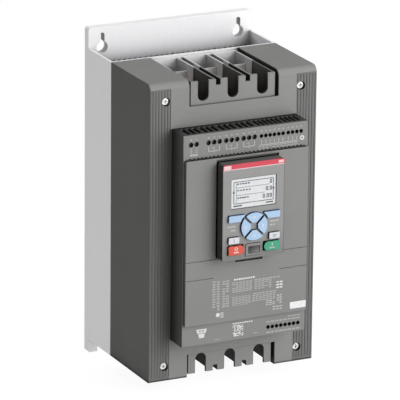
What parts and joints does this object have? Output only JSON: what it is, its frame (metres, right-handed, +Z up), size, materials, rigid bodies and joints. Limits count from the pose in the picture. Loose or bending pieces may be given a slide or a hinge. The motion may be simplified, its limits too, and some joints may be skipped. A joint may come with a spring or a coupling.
{
  "type": "soft starter",
  "caption": "Wall mounted three phase soft starter with a metal air duct, a ribbed dark cover, open terminal pockets and a pull off keypad",
  "frame": {"origin": "middle of the back face of the mounting plate", "axes": "X to the right seen from the front, Y to the back, Z up"},
  "size_m": [0.1994, 0.2243, 0.377],
  "materials": {
    "frame_metal": "satin",
    "sink_metal": "extruded",
    "black_plastic": "matte",
    "bar_copper": "plain",
    "board_green": "coated",
    "pale_plastic": "matte",
    "cover_plastic": "fine grain",
    "module_plastic": "fine grain",
    "screw_steel": "zinc",
    "keypad_plastic": "satin",
    "band_red": "satin",
    "display_pale": "smooth",
    "window_clear": "clear",
    "key_blue": "satin",
    "key_grey": "satin",
    "key_red": "satin",
    "key_green": "satin"
  },
  "bodies": {
    "starter": {"rear_frame": "frame_metal", "fan_tray": "frame_metal", "heat_sink": "sink_metal", "sink_fins": "sink_metal", "fan_frame_1": "black_plastic", "fan_frame_2": "black_plastic", "thyristor_module_1": "black_plastic", "thyristor_module_2": "black_plastic", "thyristor_module_3": "black_plastic", "bypass_contactor_1": "black_plastic", "bypass_contactor_2": "black_plastic", "bypass_contactor_3": "black_plastic", "current_transformer_1": "black_plastic", "current_transformer_2": "black_plastic", "current_transformer_3": "black_plastic", "relay_plug_1": "black_plastic", "relay_plug_2": "black_plastic", "relay_plug_3": "black_plastic", "relay_plug_4": "black_plastic", "signal_plug_1": "black_plastic", "signal_plug_2": "black_plastic", "signal_plug_3": "black_plastic", "signal_plug_4": "black_plastic", "line_busbar_1": "bar_copper", "line_busbar_2": "bar_copper", "line_busbar_3": "bar_copper", "load_busbar_1": "bar_copper", "load_busbar_2": "bar_copper", "load_busbar_3": "bar_copper", "driver_board": "board_green", "control_board": "board_green", "line_terminal_block": "pale_plastic", "load_terminal_block": "pale_plastic", "line_shroud": "cover_plastic", "load_shroud": "cover_plastic", "power_cover": "cover_plastic", "control_housing": "module_plastic", "front_panel": "module_plastic", "cover_screws": "screw_steel", "plug_screws": "screw_steel"},
    "keypad": {"keypad_back": "black_plastic", "keypad_case": "keypad_plastic", "keypad_band": "band_red", "keypad_board": "board_green", "display": "display_pale", "display_window": "window_clear", "service_port": "screw_steel"},
    "port_flap": {"port_cover": "keypad_plastic"},
    "fan_1": {"fan_rotor_1": "black_plastic"},
    "fan_2": {"fan_rotor_2": "black_plastic"},
    "soft_key_left_cap": {"soft_key_left": "key_blue"},
    "soft_key_right_cap": {"soft_key_right": "key_blue"},
    "up_key_cap": {"up_key": "key_blue"},
    "right_key_cap": {"right_key": "key_blue"},
    "down_key_cap": {"down_key": "key_blue"},
    "left_key_cap": {"left_key": "key_blue"},
    "info_key_cap": {"info_key": "key_grey"},
    "mode_key_cap": {"mode_key": "key_grey"},
    "stop_key_cap": {"stop_key": "key_red"},
    "start_key_cap": {"start_key": "key_green"}
  },
  "joints": [
    {"name": "keypad_pull", "type": "slide", "parent": "starter", "child": "keypad", "axis": [0, -1, 0], "range_m": [0, 0.025]},
    {"name": "port_flap_hinge", "type": "hinge", "parent": "keypad", "child": "port_flap", "pos_m": [0, -0.2215, -0.0221], "axis": [1, 0, 0], "range_deg": [0, 95]},
    {"name": "fan_1_spin", "type": "hinge", "parent": "starter", "child": "fan_1", "pos_m": [-0.042, -0.03875, -0.1665], "axis": [0, 0, 1], "continuous": true},
    {"name": "fan_2_spin", "type": "hinge", "parent": "starter", "child": "fan_2", "pos_m": [0.042, -0.03875, -0.1665], "axis": [0, 0, 1], "continuous": true},
    {"name": "soft_key_left_press", "type": "slide", "parent": "keypad", "child": "soft_key_left_cap", "axis": [0, 1, 0], "range_m": [0, 0.001], "stiffness_N_per_m": 400},
    {"name": "soft_key_right_press", "type": "slide", "parent": "keypad", "child": "soft_key_right_cap", "axis": [0, 1, 0], "range_m": [0, 0.001], "stiffness_N_per_m": 400},
    {"name": "up_key_press", "type": "slide", "parent": "keypad", "child": "up_key_cap", "axis": [0, 1, 0], "range_m": [0, 0.001], "stiffness_N_per_m": 400},
    {"name": "right_key_press", "type": "slide", "parent": "keypad", "child": "right_key_cap", "axis": [0, 1, 0], "range_m": [0, 0.001], "stiffness_N_per_m": 400},
    {"name": "down_key_press", "type": "slide", "parent": "keypad", "child": "down_key_cap", "axis": [0, 1, 0], "range_m": [0, 0.001], "stiffness_N_per_m": 400},
    {"name": "left_key_press", "type": "slide", "parent": "keypad", "child": "left_key_cap", "axis": [0, 1, 0], "range_m": [0, 0.001], "stiffness_N_per_m": 400},
    {"name": "info_key_press", "type": "slide", "parent": "keypad", "child": "info_key_cap", "axis": [0, 1, 0], "range_m": [0, 0.001], "stiffness_N_per_m": 400},
    {"name": "mode_key_press", "type": "slide", "parent": "keypad", "child": "mode_key_cap", "axis": [0, 1, 0], "range_m": [0, 0.001], "stiffness_N_per_m": 400},
    {"name": "stop_key_press", "type": "slide", "parent": "keypad", "child": "stop_key_cap", "axis": [0, 1, 0], "range_m": [0, 0.001], "stiffness_N_per_m": 400},
    {"name": "start_key_press", "type": "slide", "parent": "keypad", "child": "start_key_cap", "axis": [0, 1, 0], "range_m": [0, 0.001], "stiffness_N_per_m": 400}
  ]
}
